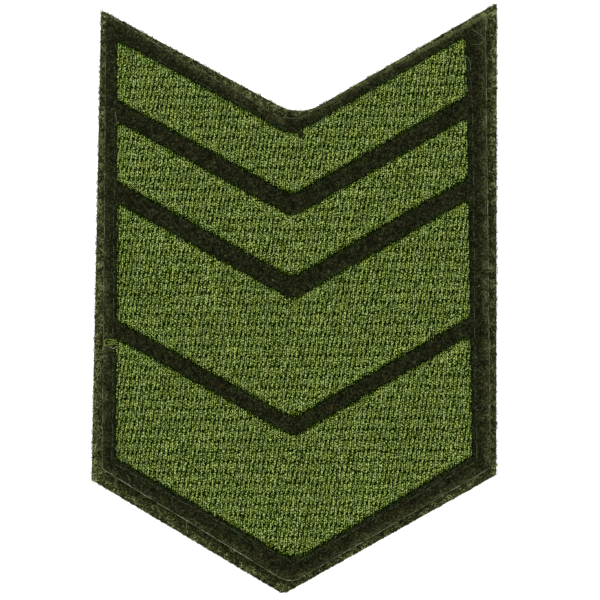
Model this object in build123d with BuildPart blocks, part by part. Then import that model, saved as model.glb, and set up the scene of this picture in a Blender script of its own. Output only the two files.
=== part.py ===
from build123d import *
from collections import namedtuple
from math import radians, tan
import os

# Service stripe patch, lying face up. +X is to the right of someone looking at its face,
# +Y runs up the patch, +Z out of its face. All sizes are in millimetres and degrees.

# The embroidered stripes
stripe_width = 65.5
chevron_angle = 29.4
narrow_stripe_height = 11.2
narrow_gap = 4.25
wide_stripe_height = 21.8
wide_gap = 3.55
base_stripe_height = 22.5
foot_extra_angle = 0.6
stripe_thickness = 0.7
stripe_side_radius = 0.5
stripe_apex_radius = 3.0
base_tip_radius = 5.0
stripe_edge_radius = 0.3

# The cloth layers under them, from the face down
felt_thickness = 1.0
felt_corner_radius = 0.8
felt_notch_radius = 6.8
felt_tip_radius = 4.0
felt_edge_radius = 0.15
hook_thickness = 1.25
hook_inset = 0.4
loop_thickness = 1.6
loop_corner_radius = 0.2
loop_notch_radius = 8.0
loop_tip_radius = 1.6
loop_edge_radius = 0.15
layer_gap = 0.05

# The felt is cut by machine and the loop cloth by hand, so neither follows the stripes exactly.
# Each row says how far a corner lies across (+X) and along (+Y) from the same corner inside it.
Offset = namedtuple("Offset", "across along")

felt_offsets = {
    "top_left": Offset(across=-2.2, along=5.2),
    "notch": Offset(across=-0.2, along=2.3),
    "top_right": Offset(across=3.9, along=4.4),
    "bottom_right": Offset(across=3.5, along=-2.3),
    "tip": Offset(across=-0.8, along=-4.4),
    "bottom_left": Offset(across=-2.6, along=-2.1),
}

loop_offsets = {
    "top_left": Offset(across=-1.35, along=1.7),
    "notch": Offset(across=1.7, along=1.95),
    "top_right": Offset(across=2.5, along=3.05),
    "bottom_right": Offset(across=1.3, along=-1.35),
    "tip": Offset(across=-1.35, along=-2.05),
    "bottom_left": Offset(across=-2.4, along=-2.0),
}

# Heights of the layers above the surface that the patch lies on
hook_bottom = loop_thickness + layer_gap
felt_bottom = hook_bottom + hook_thickness + layer_gap
stripe_bottom = felt_bottom + felt_thickness + layer_gap

# Where each stripe's upper edge crosses the centre line, measured from the foot of the last one
base_stripe_top = base_stripe_height
wide_stripe_top = base_stripe_top + wide_gap + wide_stripe_height
lower_narrow_top = wide_stripe_top + narrow_gap + narrow_stripe_height
upper_narrow_top = lower_narrow_top + narrow_gap + narrow_stripe_height

half_width = stripe_width / 2
chevron_rise = half_width * tan(radians(chevron_angle))
foot_rise = half_width * tan(radians(chevron_angle + foot_extra_angle))


def chevron_corners(top, bottom, bottom_rise):
    """The six corners of a stripe, named, with its V pointing down at the centre line."""
    return {
        "top_left": (-half_width, top + chevron_rise),
        "notch": (0, top),
        "top_right": (half_width, top + chevron_rise),
        "bottom_right": (half_width, bottom + bottom_rise),
        "tip": (0, bottom),
        "bottom_left": (-half_width, bottom + bottom_rise),
    }


def moved_corners(corners, offsets):
    """The corners of a layer that reaches past another by its own offset at each corner."""
    return {
        name: (x + offsets[name].across, y + offsets[name].along)
        for name, (x, y) in corners.items()
    }


def draw_outline(corners, side_radius, notch_radius, tip_radius):
    """Fills a closed outline of straight runs, rounded at the sides, the notch and the tip."""
    special = {"notch": notch_radius, "tip": tip_radius}
    radii = [special.get(name, side_radius) for name in corners]
    with BuildLine() as outline:
        FilletPolyline(*corners.values(), radius=radii, close=True)
    make_face(outline.line)


def top_edges(part):
    """The edges round the upper face of a layer."""
    return part.faces().sort_by(Axis.Z)[-1].edges()


stripe_block = chevron_corners(upper_narrow_top, 0, foot_rise)
felt_corners = moved_corners(stripe_block, felt_offsets)
loop_corners = moved_corners(felt_corners, loop_offsets)

# The loop cloth reaches furthest, so the middle of its outline is the origin of the patch
with BuildSketch() as loop_outline:
    draw_outline(loop_corners, loop_corner_radius, loop_notch_radius, loop_tip_radius)

middle = loop_outline.sketch.bounding_box().center()


def level(height):
    """The drawing plane of a layer, with the patch centred over the origin."""
    return Plane(origin=(-middle.X, -middle.Y, height))


# Loop panel: the knitted pile at the back, its loops facing up
with BuildPart() as loop_panel:
    with BuildSketch(level(0)):
        draw_outline(loop_corners, loop_corner_radius, loop_notch_radius, loop_tip_radius)
    extrude(amount=loop_thickness)
    fillet(top_edges(loop_panel), radius=loop_edge_radius)
loop_panel.part.label = "loop_panel"

# Hook panel: the stiff woven hook cloth sewn to the back of the felt, a little inside its edge
with BuildPart() as hook_panel:
    with BuildSketch(level(hook_bottom)):
        draw_outline(felt_corners, felt_corner_radius, felt_notch_radius, felt_tip_radius)
        offset(amount=-hook_inset)
    extrude(amount=hook_thickness)
hook_panel.part.label = "hook_panel"

# Felt ground: the dark cloth whose bare strips are the border and the dark stripes
with BuildPart() as felt_ground:
    with BuildSketch(level(felt_bottom)):
        draw_outline(felt_corners, felt_corner_radius, felt_notch_radius, felt_tip_radius)
    extrude(amount=felt_thickness)
    fillet(top_edges(felt_ground), radius=felt_edge_radius)
felt_ground.part.label = "felt_ground"

os.makedirs("parts", exist_ok=True)
export_step(loop_panel.part, "parts/loop_panel.step")
export_step(hook_panel.part, "parts/hook_panel.step")
export_step(felt_ground.part, "parts/felt_ground.step")

# The embroidered stripes, from the top of the patch down. Heights are those of the two edges
# on the centre line, and foot_rise says how far the lower edge climbs to the stripe's sides.
Stripe = namedtuple("Stripe", "top bottom foot_rise tip_radius")

stripes = {
    "upper_narrow_stripe": Stripe(
        top=upper_narrow_top,
        bottom=upper_narrow_top - narrow_stripe_height,
        foot_rise=chevron_rise,
        tip_radius=stripe_apex_radius,
    ),
    "lower_narrow_stripe": Stripe(
        top=lower_narrow_top,
        bottom=lower_narrow_top - narrow_stripe_height,
        foot_rise=chevron_rise,
        tip_radius=stripe_apex_radius,
    ),
    "wide_stripe": Stripe(
        top=wide_stripe_top,
        bottom=wide_stripe_top - wide_stripe_height,
        foot_rise=chevron_rise,
        tip_radius=stripe_apex_radius,
    ),
    "base_stripe": Stripe(
        top=base_stripe_top, bottom=0, foot_rise=foot_rise, tip_radius=base_tip_radius
    ),
}

for name, row in stripes.items():
    with BuildPart() as stripe:
        with BuildSketch(level(stripe_bottom)):
            draw_outline(
                chevron_corners(row.top, row.bottom, row.foot_rise),
                stripe_side_radius,
                stripe_apex_radius,
                row.tip_radius,
            )
        extrude(amount=stripe_thickness)
        fillet(top_edges(stripe), radius=stripe_edge_radius)
    stripe.part.label = name
    export_step(stripe.part, f"parts/{name}.step")
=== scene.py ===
# %% [markdown]
# # Dressing a service stripe patch in Blender
# A service stripe patch is sewn in layers. Four chevron fields of green thread are embroidered
# on dark felt, the hook half of a touch fastener is sewn to the back of the felt, and the loop
# half lies under it. The CAD model already holds these layers as plain solids at their real
# size, and this lesson gives each one its thread, fibre and finish.
#
# We begin by loading that model as a fixed frame. Nothing in it is moved: a layer either keeps
# its solid or is hidden and replaced by a piece that fills the same space. All lengths are in
# metres, so `mm` turns a length in millimetres into Blender's unit.

import math

import bpy
import numpy as np
from mathutils import Euler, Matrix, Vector, noise


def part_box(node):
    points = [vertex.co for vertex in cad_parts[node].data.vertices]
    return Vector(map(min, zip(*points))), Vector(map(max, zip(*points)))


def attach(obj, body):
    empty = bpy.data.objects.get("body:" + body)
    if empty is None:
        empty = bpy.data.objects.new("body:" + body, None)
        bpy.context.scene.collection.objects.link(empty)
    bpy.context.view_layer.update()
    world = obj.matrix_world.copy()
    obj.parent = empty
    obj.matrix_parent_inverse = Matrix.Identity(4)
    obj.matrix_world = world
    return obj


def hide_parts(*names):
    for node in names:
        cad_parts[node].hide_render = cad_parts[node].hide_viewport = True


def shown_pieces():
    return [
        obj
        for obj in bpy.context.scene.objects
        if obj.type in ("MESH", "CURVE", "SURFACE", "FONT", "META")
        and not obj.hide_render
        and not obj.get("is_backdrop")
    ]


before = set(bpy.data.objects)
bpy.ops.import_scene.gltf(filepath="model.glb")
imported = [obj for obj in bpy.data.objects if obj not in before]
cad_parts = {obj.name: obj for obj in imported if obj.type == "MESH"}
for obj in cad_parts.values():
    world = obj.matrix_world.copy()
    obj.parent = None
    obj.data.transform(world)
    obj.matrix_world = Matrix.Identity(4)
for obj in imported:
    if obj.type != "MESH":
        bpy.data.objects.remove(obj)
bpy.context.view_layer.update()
mm = 0.001
rng = np.random.default_rng(7)

# %% [markdown]
# ## The camera
# The photographer looked almost straight down on the patch. A camera can be placed by eye, but
# straight edges of known size pin it down better: the place, the tilt and the focal length here
# make the corners of the model fall on those of the photograph to about half a pixel.
#
# The camera keeps its sensor centred, so other views can be taken with the same lens.

# %% Camera
image_size = 600
sensor_width = 36.0
camera_place = Vector((5.835, -31.682, 332.8)) * mm
camera_turn = Euler((math.radians(5.269), math.radians(0.934), math.radians(-0.370)))
camera_lens = 106.7

camera_data = bpy.data.cameras.new("photo_camera")
camera_data.sensor_width = sensor_width
camera_data.lens = camera_lens
camera_data.clip_start = 0.01
camera_data.clip_end = 10.0
camera = bpy.data.objects.new("photo_camera", camera_data)
camera.location = camera_place
camera.rotation_euler = camera_turn
bpy.context.scene.collection.objects.link(camera)
bpy.context.scene.camera = camera
print("camera height above the floor in mm:", round(camera_place.z / mm, 1))

# %% [markdown]
# ## Light and floor
# The photograph has the even light of a product picture on white paper. A white world gives
# light from all sides, and four round lamps stand about the patch, the strongest of them at the
# upper left. One lamp alone would throw shadows that the photograph doesn't have. Four of them
# cancel each other's shadows, and still give each thread and fibre its glints.
#
# The floor is a sheet of pale paper with a faint grain. It glows a little, so that it stays white
# beside the patch too, as it does in the photograph. It is marked as stage, so it isn't part of
# the patch. The Standard view transform keeps the colours as they are mixed.

# %% World and lamps
bpy.context.scene.view_settings.view_transform = "Standard"

white = (1.0, 1.0, 1.0, 1.0)
world_level = 0.3
world = bpy.data.worlds.new("studio")
world.use_nodes = True
world.node_tree.nodes["Background"].inputs["Color"].default_value = white
world.node_tree.nodes["Background"].inputs["Strength"].default_value = world_level
bpy.context.scene.world = world

lamp_distance = 0.7
lamp_size = 0.22
# The azimuth and elevation of each lamp in degrees, and how much light it gives the floor.
lamp_plan = {
    "key_upper_left": (125, 56, 0.32),
    "fill_upper_right": (40, 56, 0.26),
    "fill_lower_left": (215, 56, 0.26),
    "fill_lower_right": (310, 56, 0.24),
}
for name, (azimuth, elevation, level) in lamp_plan.items():
    turn, rise = math.radians(azimuth), math.radians(elevation)
    lamp_data = bpy.data.lights.new(name, "AREA")
    lamp_data.shape = "DISK"
    lamp_data.size = lamp_size
    lamp_data.energy = level * math.pi**2 * lamp_distance**2 / math.sin(rise)
    lamp = bpy.data.objects.new(name, lamp_data)
    way = Vector((math.cos(turn) * math.cos(rise), math.sin(turn) * math.cos(rise), math.sin(rise)))
    lamp.location = lamp_distance * way
    lamp.rotation_euler = way.to_track_quat("Z", "Y").to_euler()
    bpy.context.scene.collection.objects.link(lamp)
light_level = world_level + sum(level for _, _, level in lamp_plan.values())
print("light on the floor:", round(light_level, 2), "where 1 is paper white")

# %% Floor
def add(tree, kind, inputs=None, **settings):
    """Adds a shader node. Inputs are plain values, or outputs of other nodes to link."""
    made = tree.nodes.new("ShaderNode" + kind)
    for key, value in settings.items():
        setattr(made, key, value)
    for key, value in (inputs or {}).items():
        if isinstance(value, bpy.types.NodeSocket):
            tree.links.new(value, made.inputs[key])
        else:
            made.inputs[key].default_value = value
    return made


def ramp(tree, factor, stops):
    """Turns a number into a colour, through (place, colour) stops."""
    made = add(tree, "ValToRGB", {"Fac": factor})
    elements = made.color_ramp.elements
    while len(elements) < len(stops):
        elements.new(1.0)
    for element, (place, colour) in zip(elements, stops):
        element.position = place
        element.color = colour
    return made.outputs["Color"]


def new_finish(name, roughness, specular):
    """A material, with its node tree and its shader. Values that are the same all over the
    surface are set here, on the shader's own sockets."""
    finish = bpy.data.materials.new(name)
    finish.use_nodes = True
    shader = finish.node_tree.nodes["Principled BSDF"]
    shader.inputs["Roughness"].default_value = roughness
    shader.inputs["Specular IOR Level"].default_value = specular
    return finish, finish.node_tree, shader


def coat(tree, shader, colour):
    """Gives a surface its colour."""
    tree.links.new(colour, shader.inputs["Base Color"])


def bump(tree, shader, height, depth):
    """Lets a height, from 0 to 1, tilt the light on a surface as relief of that depth would."""
    made = add(tree, "Bump", {"Height": height, "Distance": depth, "Strength": 1.0})
    tree.links.new(made.outputs["Normal"], shader.inputs["Normal"])


def object_place(tree):
    """Where a point of the surface lies, in metres."""
    return add(tree, "TexCoord").outputs["Object"]


def noise_at(tree, place, scale, detail=2.0, roughness=0.5):
    """Soft noise from 0 to 1, with features about 1 / scale long."""
    values = {"Vector": place, "Scale": scale, "Detail": detail, "Roughness": roughness}
    return add(tree, "TexNoise", values).outputs["Fac"]


paper, paper_tree, paper_shader = new_finish("paper_floor", roughness=0.9, specular=0.1)
paper_grain = noise_at(paper_tree, object_place(paper_tree), scale=900.0)
paper_stops = [(0.3, (0.93, 0.93, 0.93, 1)), (0.7, (0.95, 0.95, 0.95, 1))]
coat(paper_tree, paper_shader, ramp(paper_tree, paper_grain, paper_stops))
bump(paper_tree, paper_shader, paper_grain, depth=0.02 * mm)
paper_shader.inputs["Emission Color"].default_value = white
paper_shader.inputs["Emission Strength"].default_value = 0.35

floor_half = 1.5
floor_mesh = bpy.data.meshes.new("floor")
floor_corners = [(-floor_half, -floor_half, 0), (floor_half, -floor_half, 0),
                 (floor_half, floor_half, 0), (-floor_half, floor_half, 0)]
floor_mesh.from_pydata(floor_corners, [], [(0, 1, 2, 3)])
floor_mesh.materials.append(paper)
floor = bpy.data.objects.new("floor", floor_mesh)
bpy.context.scene.collection.objects.link(floor)
floor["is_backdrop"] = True
print("floor:", 2 * floor_half, "m wide")

# %% [markdown]
# ## Reading the outlines of the layers
# Every piece of cloth here has the outline of its CAD layer, so the outlines are read from the
# frame and are never typed in again. The foot of a layer is flat. Its outline is made of the
# edges that only one of the foot's faces uses, chained end to end.

# %% Outlines
def outline_of(node):
    """The outline of a CAD layer's foot, anticlockwise seen from above."""
    close = 0.001 * mm
    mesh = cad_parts[node].data
    points = np.array([vertex.co for vertex in mesh.vertices])
    at_foot = points[:, 2] < points[:, 2].min() + close
    _, same = np.unique(np.round(points / close), axis=0, return_inverse=True)
    same = same.ravel()
    place = {key: points[number, :2] for number, key in enumerate(same)}
    runs = set()
    for face in mesh.polygons:
        corners = list(face.vertices)
        if not at_foot[corners].all():
            continue
        for start, end in zip(corners, corners[1:] + corners[:1]):
            runs.add((same[start], same[end]))
    following = {end: start for start, end in runs if (end, start) not in runs}
    chain = [next(iter(following))]
    while following[chain[-1]] != chain[0]:
        chain.append(following[chain[-1]])
    return np.array([place[key] for key in chain])


def area_of(outline):
    """The flat area inside an outline."""
    following = np.roll(outline, -1, axis=0)
    return 0.5 * np.sum(outline[:, 0] * following[:, 1] - outline[:, 1] * following[:, 0])


outlines = {name: outline_of(name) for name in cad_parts}
for name, outline in outlines.items():
    print(name, "outline:", len(outline), "points,", round(area_of(outline) / mm**2), "mm2")

# %% [markdown]
# ## Filling an outline with a grid
# A sheet of cloth needs points all over its face, not only round its edge, so that it can
# swell, dip and be pulled in by stitches. Blender can fill an outline with one big face and cut
# it up, but that gives an uneven net. A Coons patch is neater: the outline is cut at its four
# outer corners into four lines, and the inside is blended from them. The net then follows the
# V of the patch at the top as well as at the foot.

# %% Cloth grids
def length_of(line):
    """The length of an open line of points."""
    return np.linalg.norm(np.diff(line, axis=0), axis=1).sum()


def resample(line, count):
    """That many points, evenly spaced along an open line."""
    steps = np.linalg.norm(np.diff(line, axis=0), axis=1)
    along = np.concatenate([[0.0], np.cumsum(steps)])
    wanted = np.linspace(0.0, along[-1], count)
    return np.stack([np.interp(wanted, along, axis) for axis in line.T], axis=1)


def corner_index(outline, across, up):
    """The point of an outline that lies furthest in a direction."""
    return int(np.argmax(outline @ np.array([across, up])))


def four_sides(outline):
    """The outline's foot and top, from left to right, and its left and right, from the foot up."""
    corners = [corner_index(outline, *way) for way in ((-1, -1), (1, -1), (1, 1), (-1, 1))]
    sides = []
    for start, end in zip(corners, corners[1:] + corners[:1]):
        count = (end - start) % len(outline)
        sides.append(outline[(start + np.arange(count + 1)) % len(outline)])
    foot, right, top, left = sides
    return foot, top[::-1], left[::-1], right


def fill_grid(outline, spacing):
    """A net of points that fills an outline: rows run across it, the first along its foot."""
    foot, top, left, right = four_sides(outline)
    columns = 2 + int(length_of(foot) / spacing)
    rows = 2 + int(length_of(left) / spacing)
    across = np.linspace(0, 1, columns)[None, :, None]
    up = np.linspace(0, 1, rows)[:, None, None]
    foot, top = resample(foot, columns)[None], resample(top, columns)[None]
    left, right = resample(left, rows)[:, None], resample(right, rows)[:, None]
    ruled = (1 - up) * foot + up * top + (1 - across) * left + across * right
    bilinear = (1 - across) * ((1 - up) * foot[:, :1] + up * top[:, :1])
    bilinear = bilinear + across * ((1 - up) * foot[:, -1:] + up * top[:, -1:])
    return ruled - bilinear


felt_outline = outlines["felt_ground"]
print("felt net:", fill_grid(felt_outline, 0.5 * mm).shape)

# %% A closed sheet of cloth
sharp_fold = math.radians(50)


def new_object(name, points, corners, sizes, finish):
    """A smooth mesh object. Corners lists the points of each face in turn, sizes how many each
    face has."""
    mesh = bpy.data.meshes.new(name)
    mesh.vertices.add(len(points))
    mesh.vertices.foreach_set("co", np.ascontiguousarray(points, np.float32).ravel())
    mesh.loops.add(len(corners))
    mesh.loops.foreach_set("vertex_index", np.ascontiguousarray(corners, np.int32))
    mesh.polygons.add(len(sizes))
    starts = np.cumsum(sizes) - sizes
    mesh.polygons.foreach_set("loop_start", np.ascontiguousarray(starts, np.int32))
    mesh.polygons.foreach_set("use_smooth", np.ones(len(sizes), bool))
    mesh.update(calc_edges=True)
    mesh.materials.append(finish)
    made = bpy.data.objects.new(name, mesh)
    bpy.context.scene.collection.objects.link(made)
    return made


def triangles(piece):
    """How many triangles a piece's faces make."""
    return sum(len(face.vertices) - 2 for face in piece.data.polygons)


def flat_at(height):
    """The top or the foot of a level sheet, with the same height at every point."""
    return lambda points: np.full(len(points), height)


def cloth(name, outline, spacing, top, foot, finish):
    """A closed sheet of cloth. Top and foot are functions that give its heights over points."""
    grid = fill_grid(outline, spacing)
    rows, columns = grid.shape[:2]
    flat = grid.reshape(-1, 2)
    number = np.arange(rows * columns).reshape(rows, columns)
    rim = np.concatenate([number[0, :-1], number[:-1, -1], number[-1, :0:-1], number[:0:-1, 0]])
    upper = np.column_stack([flat, top(flat)])
    lower = np.column_stack([flat[rim], foot(flat[rim])])
    quads = np.stack([number[:-1, :-1], number[:-1, 1:], number[1:, 1:], number[1:, :-1]], axis=-1)
    quads = quads.reshape(-1, 4)
    wall = np.arange(len(rim))
    after = np.roll(wall, -1)
    below = len(flat)
    walls = np.stack([rim[wall], below + wall, below + after, rim[after]], axis=-1)
    corners = np.concatenate([quads.ravel(), walls.ravel(), below + wall[::-1]])
    sizes = np.concatenate([np.full(len(quads) + len(walls), 4), [len(rim)]])
    made = new_object(name, np.concatenate([upper, lower]), corners, sizes, finish)
    made.data.set_sharp_from_angle(angle=sharp_fold)
    return made


print("degrees from which a fold of cloth stays sharp:", round(math.degrees(sharp_fold)))

# %% [markdown]
# ## Strands
# Stitches, loops, hooks, fibres and the seam are all the same thing to Blender: a thin tube
# that follows a line. Thousands of bevelled curves would be slow, so one function sweeps all the
# strands of a piece at once with arrays of numbers, and makes one joined mesh.
#
# Each strand also carries three things for its material: a map called `strand`, which says how
# many millimetres along and how far round the tube a point is, a map with a cell of its own for
# each strand, for baking, and a `tone`, random unless the piece sets it, so that no two strands
# look the same.

# %% Sweep many strands at once
def unit(vectors):
    """Vectors of length 1 in the same directions."""
    return vectors / np.linalg.norm(vectors, axis=-1, keepdims=True)


def flat_way(angle):
    """The level directions, x and y, at angles round from +X."""
    return np.stack([np.cos(angle), np.sin(angle)], axis=-1)


def ring(sides):
    """The section of a round tube: the places of its corners, across it and up."""
    return flat_way(2 * math.pi * np.arange(sides) / sides)


def sweep(name, lines, across, up, section, reference, finish, tones=None):
    """Tubes along lines, an array of (strand, point, xyz). Across and up are the tube's half
    width and half height, and reference is the way that its height points. Tones are random
    numbers from 0 to 1, unless given."""
    strands, count = lines.shape[:2]
    sides = len(section)
    tangent = unit(np.gradient(lines, axis=1))
    side = unit(np.cross(tangent, np.broadcast_to(reference, lines.shape)))
    normal = np.cross(side, tangent)
    across = np.broadcast_to(across, lines.shape[:2])[..., None, None]
    up = np.broadcast_to(up, lines.shape[:2])[..., None, None]
    round_way = section[:, :1] * across * side[:, :, None]
    round_way = round_way + section[:, 1:] * up * normal[:, :, None]
    points = (lines[:, :, None] + round_way).reshape(-1, 3)

    number = np.arange(strands * count * sides).reshape(strands, count, sides)
    after = np.roll(number, -1, axis=2)
    quads = [number[:, :-1], number[:, 1:], after[:, 1:], after[:, :-1]]
    quads = np.stack(quads, axis=-1).reshape(-1, 4)
    caps = np.concatenate([number[:, 0], number[:, -1, ::-1]])
    corners = np.concatenate([quads.ravel(), caps.ravel()])
    sizes = np.concatenate([np.full(len(quads), 4), np.full(len(caps), sides)])
    made = new_object(name, points, corners, sizes, finish)

    steps = np.linalg.norm(np.diff(lines, axis=1), axis=2) / mm
    along = np.concatenate([np.zeros((strands, 1)), np.cumsum(steps, axis=1)], axis=1)
    along = np.broadcast_to(along[..., None], (strands, count, sides))
    share = np.broadcast_to(np.linspace(0, 1, count)[:, None], along.shape)
    turns = np.arange(sides) / sides
    shift = 1 / sides
    quad_turns = np.stack([turns, turns, turns + shift, turns + shift], axis=-1)
    quad_turns = np.broadcast_to(quad_turns, (strands, count - 1, sides, 4)).reshape(-1, 4)

    def corner_values(grid):
        """A value at each corner of the tubes' faces, from one at each ring."""
        start, end = grid[:, :-1], grid[:, 1:]
        body = np.stack([start, end, end, start], axis=-1).reshape(-1)
        return np.concatenate([body, grid[:, 0].ravel(), grid[:, -1].ravel()])

    cap_turns = np.broadcast_to(turns, (2 * strands, sides)).ravel()
    all_turns = np.concatenate([quad_turns.ravel(), cap_turns])
    strand_map = made.data.uv_layers.new(name="strand")
    strand_uv = np.stack([corner_values(along), all_turns], axis=1)
    strand_map.uv.foreach_set("vector", strand_uv.astype(np.float32).ravel())

    cell_stretch = 4
    cells_across = max(1, round(math.sqrt(strands / cell_stretch)))
    cells_up = math.ceil(strands / cells_across)
    which = np.broadcast_to(np.arange(strands)[:, None, None], along.shape)
    which = corner_values(which).astype(int)
    margin = 0.06
    cell_u = (which % cells_across + margin + (1 - 2 * margin) * corner_values(share)) / cells_across
    cell_v = (which // cells_across + margin + (1 - 2 * margin) * all_turns) / cells_up
    bake_map = made.data.uv_layers.new(name="OFBake")
    bake_map.uv.foreach_set("vector", np.stack([cell_u, cell_v], axis=1).astype(np.float32).ravel())

    tone = made.data.attributes.new("tone", "FLOAT", "POINT")
    tones = rng.random(strands) if tones is None else tones
    tone.data.foreach_set("value", np.repeat(tones, count * sides).astype(np.float32))
    print(f"{name}: {strands} strands, {triangles(made)} triangles")
    return made

# %% [markdown]
# ## The thread
# Embroidery thread is two plies of shiny filament twisted together. Close up, every turn of the
# twist makes one slanted bright fleck with a dark line after it, and that is what gives the green
# fields their sparkle. A photo texture would fix the light in one place, so the twist is worked
# out instead: the strand map tells how far along and round the thread a point is, adding the two
# gives a spiral, and a round lobe is drawn between two turns of it. The lobe feeds the bump, so
# that a lamp from any side finds the crests, and the colour, as painted shade in the valley and a
# pale painted highlight on the crest.
#
# Three more things break up the pattern. Short flecks along the strand are painted glints of
# single filaments, with painted shade between them, the flanks get painted shade, as if the next
# strand stood over them, and two slow noises let the dye drift a little from place to place. Where
# the thread lies below the top of its field, in the slits and at the ends of stitches, it is
# painted darker as well, as painted shade.

# %% Sums and paint for finishes
def sums(tree, operation, *values):
    """One step of arithmetic between numbers or node outputs."""
    return add(tree, "Math", dict(enumerate(values)), operation=operation).outputs[0]


def scaled(tree, value, factor, extra=0.0):
    """A value times a factor, plus something extra. Each may be a number or a node output."""
    return sums(tree, "MULTIPLY_ADD", value, factor, extra)


def clamped(tree, value):
    """The value, kept between 0 and 1."""
    return add(tree, "Clamp", {"Value": value}).outputs[0]


def mark_of(tree, name):
    """The number that a piece stores under a name at each of its points."""
    return add(tree, "Attribute", attribute_name=name).outputs["Fac"]


def paint(red, green, blue):
    """The paint that looks like a screen colour, from 0 to 255, where the studio's light meets it
    straight on. That light is a little stronger than 1, to keep the floor white."""
    # A screen stores its colours along a standard curve, which is unrolled here.
    parts = []
    for value in (red, green, blue):
        share = value / 255
        linear = share / 12.92 if share <= 0.04045 else ((share + 0.055) / 1.055) ** 2.4
        parts.append(linear / light_level)
    return (*parts, 1.0)


def paint_ramp(tree, factor, stops):
    """Turns a number into a colour, through (place, screen colour) stops."""
    return ramp(tree, factor, [(place, paint(*colour)) for place, colour in stops])


def tinted(tree, colour, tint):
    """A colour with its red, green and blue each times a factor of its own."""
    return add(tree, "VectorMath", {0: colour, 1: tint}, operation="MULTIPLY").outputs[0]


print("paint of a white screen:", [round(part, 3) for part in paint(255, 255, 255)])

# %% Thread finish
def depth_below(tree, place, top, reach):
    """How deep a point lies under a height, from 0 there to 1 at that reach below it."""
    height = add(tree, "SeparateXYZ", {0: place}).outputs["Z"]
    return clamped(tree, scaled(tree, height, -1 / reach, top / reach))


def thread_finish(name, colours, ply_length, roughness, relief, top=1.0, depth_shade=0.0):
    """Twisted two-ply thread, with five screen colours from its darkest, which is painted shade, to
    its brightest, which is a painted glint. Ply_length is the distance in millimetres from one bright
    turn of the twist to the next. The last argument is painted shade: how far the colour drops
    0.4 mm below the thread's top."""
    finish, tree, shader = new_finish(name, roughness, specular=0.03)
    shader.inputs["Specular Tint"].default_value = (0.8, 1.0, 0.4, 1.0)
    strand = add(tree, "UVMap", uv_map="strand").outputs["UV"]
    parts = add(tree, "SeparateXYZ", {0: strand}).outputs
    tone = mark_of(tree, "tone")
    place = object_place(tree)

    drift = scaled(tree, noise_at(tree, place, scale=900.0), 1.6)
    pace = scaled(tree, tone, 0.3 / ply_length, 0.85 / ply_length)
    turns = scaled(tree, parts["X"], pace, parts["Y"])
    turns = sums(tree, "ADD", scaled(tree, tone, 9.0, turns), drift)
    offset = scaled(tree, sums(tree, "FRACT", turns), 2.0, -1.0)
    lobe = sums(tree, "SQRT", sums(tree, "SUBTRACT", 1.0, scaled(tree, offset, offset)))

    # Painted glints: short flecks of light for single filaments, with painted shade between them.
    glint_place = add(tree, "CombineXYZ", {
        0: scaled(tree, parts["X"], 7.0),
        1: scaled(tree, parts["X"], 1.2, scaled(tree, parts["Y"], 5.5)),
        2: scaled(tree, tone, 60.0),
    }).outputs[0]
    glint_fleck = noise_at(tree, glint_place, scale=1.0, detail=1.0, roughness=0.6)
    # Painted shade: the colour drops where the thread lies below its top, in the slits and at stitch ends.
    depth = depth_below(tree, place, top, 0.4 * mm)

    # Painted shade on the flanks of the strand, as if the next strand stood over them.
    flank = sums(tree, "ABSOLUTE", sums(tree, "SUBTRACT", parts["Y"], 0.2))
    flank_shade = clamped(tree, sums(tree, "POWER", scaled(tree, flank, 5.0), 2.0))

    # The lobe paints shade into the valleys of the twist and light onto its crests.
    level = scaled(tree, lobe, 0.4, scaled(tree, glint_fleck, 5.1, -2.28))
    level = scaled(tree, depth, -depth_shade, scaled(tree, flank_shade, -0.7, level))
    colour = paint_ramp(tree, level, zip((0.0, 0.25, 0.5, 0.75, 1.0), colours))

    patches = noise_at(tree, place, scale=160.0, detail=1.0)
    shade = scaled(tree, tone, 0.14, scaled(tree, patches, 0.24, 0.81))
    shaded = add(tree, "VectorMath", {0: colour, "Scale": shade}, operation="SCALE").outputs[0]
    dye = scaled(tree, noise_at(tree, place, scale=420.0, detail=1.0), 1.6, -0.3)
    hue = ramp(tree, dye, [(0.2, (0.96, 1.0, 1.12, 1)), (0.8, (1.05, 1.0, 0.86, 1))])
    coat(tree, shader, tinted(tree, shaded, hue))
    bump(tree, shader, scaled(tree, glint_fleck, 0.6, lobe), relief)
    return finish


stripe_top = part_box("wide_stripe")[1].z
thread_top = stripe_top - 0.05 * mm
# The palest colours are painted glints and the darkest painted shade, and the thread is painted darker
# where it lies below the top of the field.
green_thread = thread_finish(
    "green_thread",
    colours=[(3, 14, 0), (25, 49, 0), (56, 84, 0), (95, 123, 2), (200, 218, 132)],
    ply_length=0.66,
    roughness=0.4,
    relief=0.06 * mm,
    top=thread_top,
    depth_shade=0.6,
)
print("thread finish:", len(green_thread.node_tree.nodes), "nodes")

# %% [markdown]
# ## The green fields
# A machine fills each field with rows of straight stitches that run up the patch, 0.41 mm apart.
# A stitch is 3.9 mm long, and every other row starts half a stitch further on, like bricks in a
# wall. Both its ends dive into the felt. Where the needle goes down inside the field it pushes
# the threads aside, so a stitch thins to a wedge there and leaves a slanted slit beside it. These
# slits are the fine dotted lines across the fields. Where a row meets the edge of its field the
# last stitch is cut to fit, so that the edge is a fine saw-tooth.
#
# A bump map could draw the bricks, but the rim of each field stands 0.7 mm above the felt, and
# from the side only real strands look right. Each stitch is therefore a strand of its own.

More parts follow.
